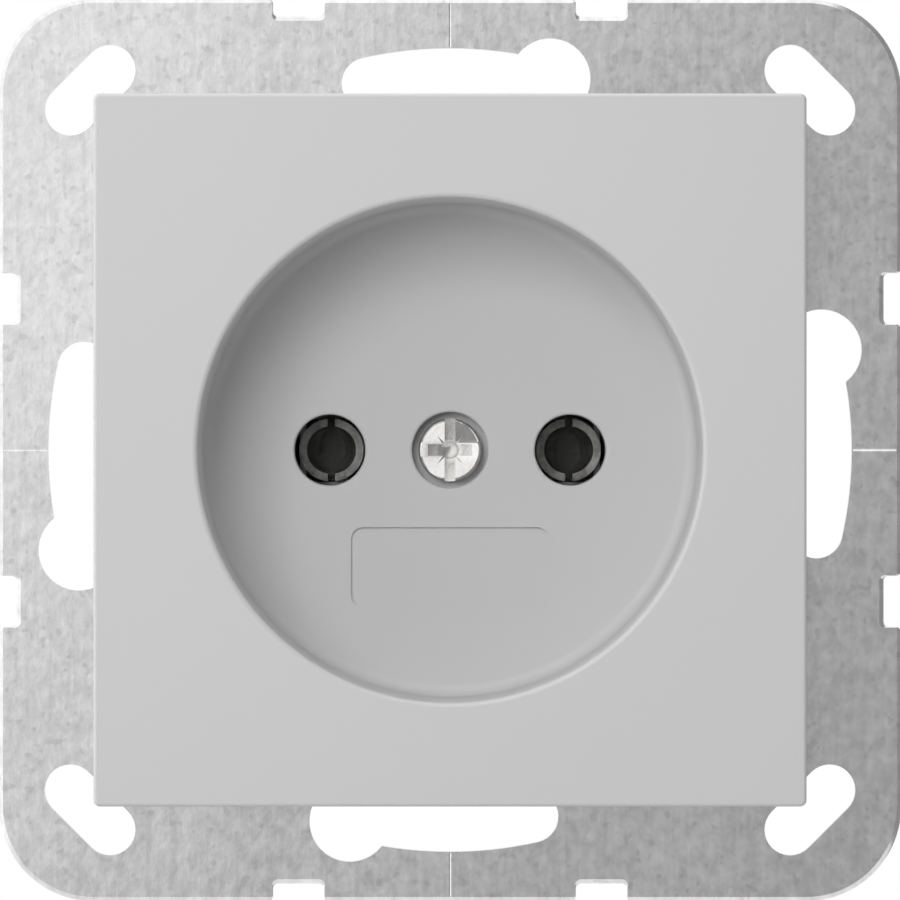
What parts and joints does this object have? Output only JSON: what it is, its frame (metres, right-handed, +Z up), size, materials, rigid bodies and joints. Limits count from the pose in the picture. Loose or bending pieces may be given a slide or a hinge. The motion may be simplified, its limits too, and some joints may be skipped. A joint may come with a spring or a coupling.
{
  "type": "wall socket",
  "caption": "Flush-mounted wall socket insert: grey square cover with a deep round plug recess, pin holes and a centre screw, on a slotted metal mounting frame.",
  "frame": {"origin": "on the axis of the plug recess, in the plane of the mounting frame's back face, which lies on the wall", "axes": "+X right and +Z up as seen from the front, +Y into the wall"},
  "size_m": [0.0708, 0.043, 0.0708],
  "materials": {
    "cover_plastic": "fine matt",
    "screw_nickel": "bright nickel",
    "insert_brass": "turned",
    "frame_zinc": "zinc plated",
    "steel_zinc": "zinc plated",
    "base_plastic": "matt moulded",
    "contact_nickel": "plated",
    "spring_steel": "bright",
    "release_plastic": "matt moulded"
  },
  "bodies": {
    "socket": {"cover_plate": "cover_plastic", "cover_screw": "screw_nickel", "cover_insert": "insert_brass", "mounting_frame": "frame_zinc", "frame_rivets": "steel_zinc", "socket_base": "base_plastic", "rear_cover": "base_plastic", "contact_left": "contact_nickel", "contact_right": "contact_nickel", "contact_clip_left": "spring_steel", "contact_clip_right": "spring_steel", "clamp_spring_inner_left": "spring_steel", "clamp_spring_inner_right": "spring_steel", "clamp_spring_outer_left": "spring_steel", "clamp_spring_outer_right": "spring_steel"},
    "left_release": {"release_left": "release_plastic"},
    "right_release": {"release_right": "release_plastic"},
    "left_claw": {"claw_left": "steel_zinc"},
    "right_claw": {"claw_right": "steel_zinc"},
    "left_claw_screw": {"claw_screw_left": "steel_zinc"},
    "right_claw_screw": {"claw_screw_right": "steel_zinc"}
  },
  "joints": [
    {"name": "left_release_press", "type": "slide", "parent": "socket", "child": "left_release", "axis": [0, -1, 0], "range_m": [0, 0.0016], "stiffness_N_per_m": 3000, "deforming": ["clamp_spring_inner_left", "clamp_spring_outer_left"]},
    {"name": "right_release_press", "type": "slide", "parent": "socket", "child": "right_release", "axis": [0, -1, 0], "range_m": [0, 0.0016], "stiffness_N_per_m": 3000, "deforming": ["clamp_spring_inner_right", "clamp_spring_outer_right"]},
    {"name": "left_claw_screw_turn", "type": "hinge", "parent": "socket", "child": "left_claw_screw", "pos_m": [-0.0249, 0, 0], "axis": [0, 1, 0], "range_deg": [0, 890]},
    {"name": "right_claw_screw_turn", "type": "hinge", "parent": "socket", "child": "right_claw_screw", "pos_m": [0.0249, 0, 0], "axis": [0, 1, 0], "range_deg": [0, 890]},
    {"name": "left_claw_spread", "type": "hinge", "parent": "socket", "child": "left_claw", "pos_m": [-0.0198, 0.0115, 0], "axis": [0, 0, 1], "range_deg": [0, 14]},
    {"name": "right_claw_spread", "type": "hinge", "parent": "socket", "child": "right_claw", "pos_m": [0.0198, 0.0115, 0], "axis": [0, 0, -1], "range_deg": [0, 14]}
  ],
  "couplings": [
    {"joint": "left_claw_spread", "follows": "left_claw_screw_turn", "ratio": 0.015604},
    {"joint": "right_claw_spread", "follows": "right_claw_screw_turn", "ratio": 0.015604}
  ]
}
